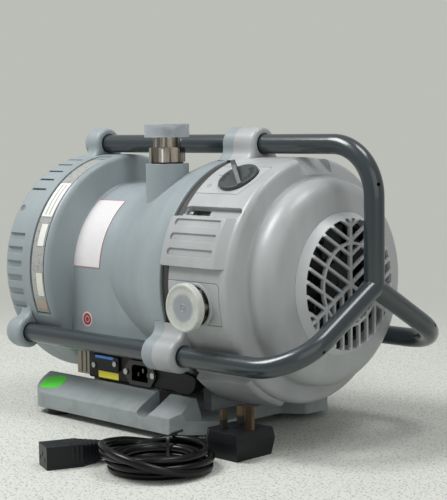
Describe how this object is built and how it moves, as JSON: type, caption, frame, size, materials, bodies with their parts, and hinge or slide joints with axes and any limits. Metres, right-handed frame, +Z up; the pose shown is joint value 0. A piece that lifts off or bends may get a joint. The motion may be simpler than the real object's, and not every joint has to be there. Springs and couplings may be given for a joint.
{
  "type": "dry scroll vacuum pump",
  "caption": "Dry scroll vacuum pump lying along its shaft in a three-armed tube frame, on a cast foot, with capped ports, a fan grille and a loose mains lead.",
  "frame": {"origin": "on the floor, under the shaft axis, at the middle of the pump's length", "axes": "+X along the shaft to the fan grille, -Y to the side with the exhaust port and the mains inlet, +Z up"},
  "size_m": [0.432, 0.3851, 0.3005],
  "materials": {
    "foot_paint": "satin",
    "body_paint": "satin",
    "rear_cover_paint": "satin",
    "cowl_paint": "satin",
    "panel_plastic": "matt",
    "grille_paint": "satin",
    "tube_paint": "gloss",
    "band_rubber": "matt",
    "foot_rubber": "matt",
    "seal_rubber": "matt",
    "knob_plastic": "matt",
    "cap_plastic": "translucent",
    "port_steel": "turned",
    "screw_steel": "plated",
    "shaft_steel": "ground",
    "bearing_steel": "ground",
    "lamination_steel": "dull",
    "winding_copper": "enamelled",
    "cast_weight": "cast",
    "cast_aluminium": "cast",
    "scroll_aluminium": "machined",
    "tip_seal_plastic": "matt",
    "bellows_steel": "bright",
    "fan_plastic": "matt",
    "box_plastic": "matt",
    "terminal_metal": "bare",
    "cover_plastic": "matt",
    "inlet_plastic": "gloss",
    "contact_metal": "plated",
    "capacitor_can": "bare",
    "lead_rubber": "satin",
    "plug_plastic": "satin",
    "tie_plastic": "matt"
  },
  "bodies": {
    "pump": {"foot_casting": "foot_paint", "rubber_feet": "foot_rubber", "foot_bolts": "screw_steel", "body_casting": "body_paint", "rear_cover": "rear_cover_paint", "rear_cover_screws": "screw_steel", "cowl": "cowl_paint", "cowl_screws": "screw_steel", "gap_ring": "band_rubber", "frame_tube_top": "tube_paint", "frame_tube_near": "tube_paint", "frame_tube_far": "tube_paint", "grille": "grille_paint", "fan_frame": "fan_plastic", "ballast_panel": "panel_plastic", "ballast_valve": "port_steel", "exhaust_panel": "panel_plastic", "exhaust_adaptor": "port_steel", "exhaust_valve": "seal_rubber", "inlet_adaptor": "port_steel", "inlet_seal": "seal_rubber", "inlet_strainer": "port_steel", "end_shield": "cast_aluminium", "rear_bearing": "bearing_steel", "front_bearing": "bearing_steel", "motor_stator": "lamination_steel", "motor_windings": "winding_copper", "run_capacitor": "capacitor_can", "scroll_housing": "cast_aluminium", "housing_screws": "screw_steel", "housing_seal": "seal_rubber", "bellows": "bellows_steel", "fixed_scroll": "scroll_aluminium", "fixed_tip_seal": "tip_seal_plastic", "fixed_scroll_screws": "screw_steel", "electrical_box": "box_plastic", "terminal_cover": "terminal_metal", "voltage_cover": "cover_plastic", "voltage_cover_screws": "screw_steel", "mains_inlet": "inlet_plastic", "mains_inlet_pins": "contact_metal", "mains_inlet_screws": "screw_steel", "connector_body": "plug_plastic", "cord_near_connector": "lead_rubber", "cord_coil": "lead_rubber", "cord_tie": "tie_plastic", "cord_near_plug": "lead_rubber", "plug_body": "plug_plastic", "plug_pins": "contact_metal"},
    "crank": {"crankshaft": "shaft_steel", "front_counterweight": "cast_weight", "rear_counterweight": "cast_weight", "motor_rotor": "lamination_steel"},
    "orbiter": {"orbiting_scroll": "scroll_aluminium", "orbiting_tip_seal": "tip_seal_plastic", "crank_bearing": "bearing_steel"},
    "fan": {"cooling_fan": "fan_plastic"},
    "knob": {"ballast_knob": "knob_plastic"},
    "inlet_port_cap": {"inlet_cap": "cap_plastic"},
    "exhaust_port_cap": {"exhaust_cap": "cap_plastic"}
  },
  "joints": [
    {"name": "shaft_spin", "type": "hinge", "parent": "pump", "child": "crank", "pos_m": [0, 0, 0.15], "axis": [1, 0, 0], "continuous": true},
    {"name": "scroll_orbit", "type": "hinge", "parent": "crank", "child": "orbiter", "pos_m": [0.046, 0, 0.1557], "axis": [1, 0, 0], "continuous": true},
    {"name": "fan_spin", "type": "hinge", "parent": "pump", "child": "fan", "pos_m": [0.156, 0, 0.15], "axis": [1, 0, 0], "continuous": true},
    {"name": "ballast_knob_turn", "type": "hinge", "parent": "pump", "child": "knob", "pos_m": [0.0948, -0.06288, 0.25221], "axis": [0, -0.524, 0.8517], "range_deg": [0, 90]},
    {"name": "inlet_cap_pull", "type": "slide", "parent": "pump", "child": "inlet_port_cap", "axis": [0, 0, 1], "range_m": [0, 0.03]},
    {"name": "exhaust_cap_pull", "type": "slide", "parent": "pump", "child": "exhaust_port_cap", "axis": [0, -1, 0], "range_m": [0, 0.03]}
  ],
  "couplings": [
    {"joint": "scroll_orbit", "follows": "shaft_spin", "ratio": -1}
  ]
}
